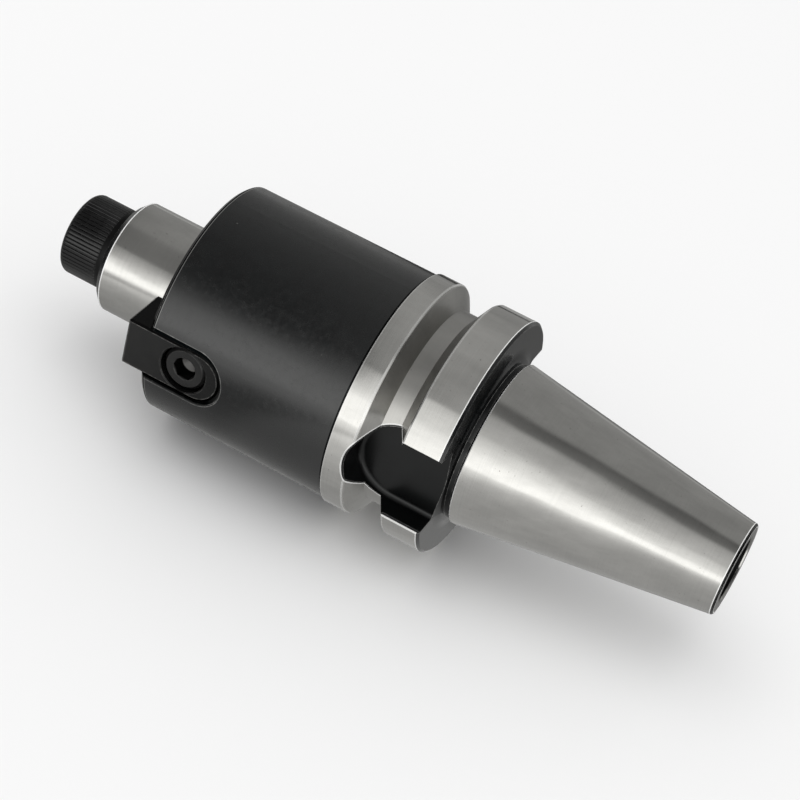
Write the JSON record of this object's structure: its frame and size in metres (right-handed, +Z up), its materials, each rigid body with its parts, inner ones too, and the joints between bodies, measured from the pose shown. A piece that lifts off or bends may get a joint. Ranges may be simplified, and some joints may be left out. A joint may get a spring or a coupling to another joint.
{
  "type": "shell mill holder",
  "caption": "Steep-taper shell mill holder: flanged taper shank, round body and pilot, with inserted drive keys and a knurled socket screw that clamps the cutter.",
  "frame": {"origin": "centre of the taper at its gauge plane", "axes": "+X along the holder's axis towards the taper's small end, so the cutter end is at -X; the drive keys and drive slots face -Y and +Y; +Z up with the holder lying on its side"},
  "size_m": [0.1364, 0.046, 0.046],
  "materials": {
    "ground_steel": "fine ground, satin",
    "black_oxide_steel": "black oxide, satin",
    "black_screw_steel": "black oxide, slightly oily"
  },
  "bodies": {
    "holder": {"holder_body": "ground_steel", "drive_key_1": "black_oxide_steel", "drive_key_2": "black_oxide_steel", "key_screw_1": "black_screw_steel", "key_screw_2": "black_screw_steel"},
    "clamp_screw": {"clamp_screw": "black_screw_steel"}
  },
  "joints": [
    {"name": "clamp_screw_travel", "type": "slide", "parent": "holder", "child": "clamp_screw", "axis": [-1, 0, 0], "range_m": [0, 0.02]}
  ]
}
